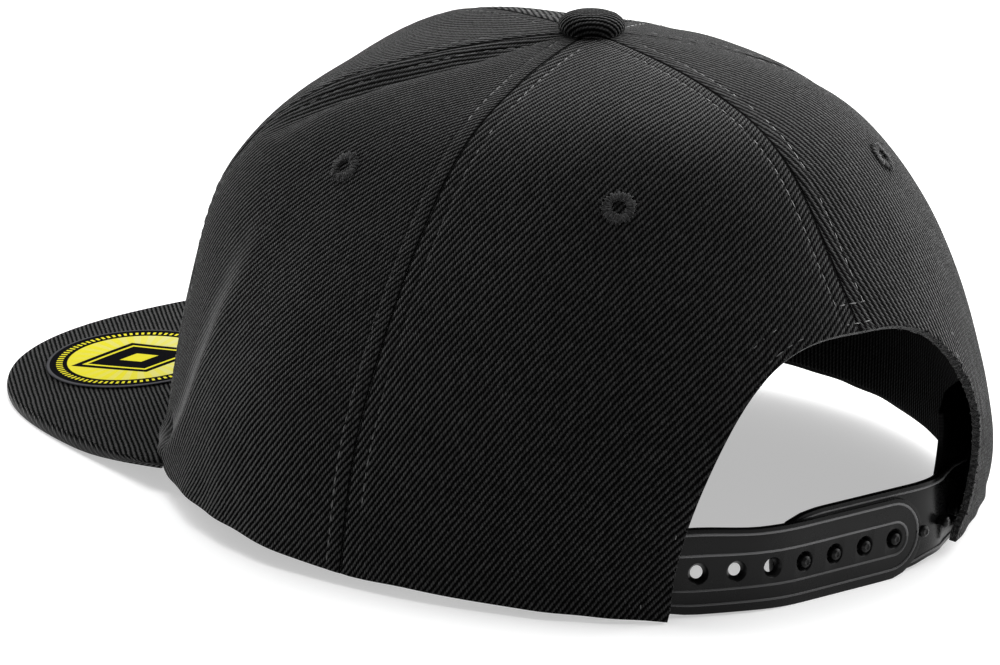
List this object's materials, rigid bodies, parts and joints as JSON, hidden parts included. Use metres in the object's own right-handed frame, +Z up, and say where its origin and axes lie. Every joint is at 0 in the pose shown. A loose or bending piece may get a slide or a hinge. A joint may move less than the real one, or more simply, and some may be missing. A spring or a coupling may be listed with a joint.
{
  "type": "six-panel flat-peak cap",
  "caption": "Black cloth cap with a structured crown, flat peak, covered button, sewn eyelets and a plastic snap strap across the back arch.",
  "frame": {"origin": "middle of the bounding box on the floor, with the cap standing on its peak and its back rim", "axes": "+Z up, the peak points along -Y, the wearer's left is +X"},
  "size_m": [0.187, 0.2532, 0.1127],
  "materials": {
    "black_twill": "coarse diagonal twill, matt",
    "sweatband_cloth": "plain woven band, matt",
    "eyelet_thread": "close satin stitch",
    "strap_plastic": "satin moulded plastic",
    "sticker_foil": "printed foil"
  },
  "bodies": {
    "root": {"left_front_panel": "black_twill", "right_front_panel": "black_twill", "left_side_panel": "black_twill", "right_side_panel": "black_twill", "left_back_panel": "black_twill", "right_back_panel": "black_twill", "peak": "black_twill", "crown_button": "black_twill", "sweatband": "sweatband_cloth", "hole_strap": "strap_plastic", "peg_strap": "strap_plastic", "left_side_eyelet": "eyelet_thread", "left_back_eyelet": "eyelet_thread", "right_back_eyelet": "eyelet_thread", "right_side_eyelet": "eyelet_thread", "peak_sticker": "sticker_foil"}
  },
  "joints": []
}
